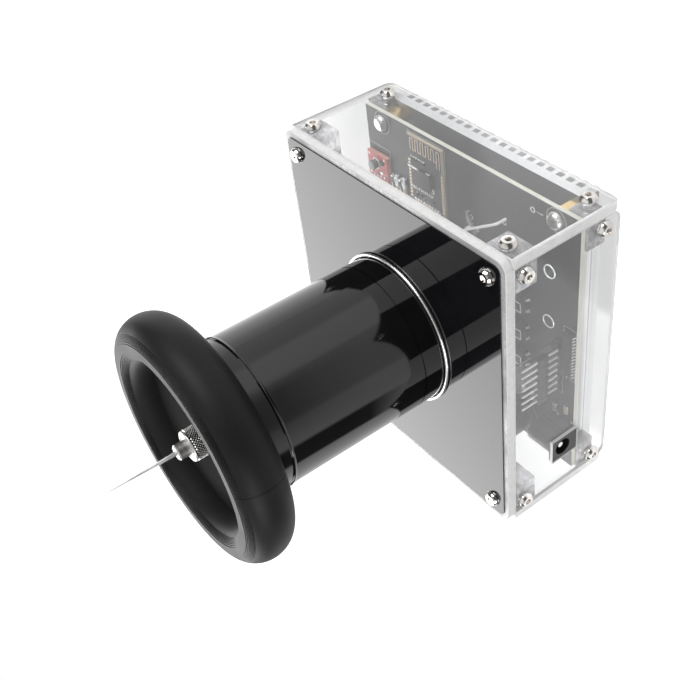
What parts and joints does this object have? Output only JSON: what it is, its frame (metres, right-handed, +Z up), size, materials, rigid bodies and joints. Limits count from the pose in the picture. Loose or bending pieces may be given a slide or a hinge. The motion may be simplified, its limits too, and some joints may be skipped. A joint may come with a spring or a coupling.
{
  "type": "desktop resonant transformer",
  "caption": "Clear square case on a finned heat sink, with an upright black coil tube, ring-shaped top load and a discharge needle held by a knurled nut.",
  "frame": {"origin": "on the coil's axis, level with the tips of the heat sink's fins, which the object stands on", "axes": "+Z up along the coil to the needle; -Y out of the panel with the power inlet"},
  "size_m": [0.1108, 0.1108, 0.1563],
  "materials": {
    "sink_aluminium": "sawn extrusion, satin",
    "brass": "turned",
    "steel": "bright plated",
    "clear_acrylic": "clear, polished faces and frosted edges",
    "black_board": "solder mask",
    "black_sheet": "mirror gloss",
    "black_tube": "gloss",
    "copper": "enamelled wire",
    "black_plastic": "matt",
    "load_black": "fine-layered satin",
    "nickel": "nickel plate, knurled",
    "chip_black": "moulded",
    "red_board": "solder mask",
    "can_grey": "satin",
    "tinned": "tinned"
  },
  "bodies": {
    "base": {"heat_sink": "sink_aluminium", "standoffs": "brass", "board_screws": "steel", "main_board": "black_board", "top_panel": "clear_acrylic", "top_sheet": "black_sheet", "right_panel": "clear_acrylic", "left_panel": "clear_acrylic", "rear_panel": "clear_acrylic", "front_panel": "clear_acrylic", "upper_corner_blocks": "clear_acrylic", "lower_corner_blocks": "clear_acrylic", "upper_side_screws": "steel", "lower_side_screws": "steel", "top_screws": "steel", "coil_former": "black_tube", "primary_winding": "copper", "secondary_winding": "copper", "primary_sleeve": "black_tube", "secondary_sleeve": "black_tube", "foot_ring": "steel", "foot_plug": "black_plastic", "plug_screws": "steel", "coil_leads": "copper", "tube_cap": "black_plastic", "terminal_stud": "brass", "lock_nut": "brass", "power_inlet": "black_plastic", "inlet_pin": "tinned", "header_blocks": "black_plastic", "header_pins": "tinned", "power_transistors": "chip_black", "transistor_screws": "steel", "controller_chip": "chip_black", "driver_transistors": "chip_black", "wireless_board": "black_board", "wireless_chip": "chip_black", "red_board": "red_board", "red_board_can": "can_grey", "storage_capacitor": "black_plastic", "small_parts": "chip_black", "link_wire": "tinned"},
    "load": {"top_load": "load_black"},
    "terminal": {"thumb_nut": "nickel", "needle": "nickel"}
  },
  "joints": [
    {"name": "load_lift", "type": "slide", "parent": "base", "child": "load", "axis": [0, 0, 1], "range_m": [0, 0.04]},
    {"name": "nut_turn", "type": "hinge", "parent": "load", "child": "terminal", "pos_m": [0, 0, 0.1254], "axis": [0, 0, 1], "continuous": true}
  ]
}
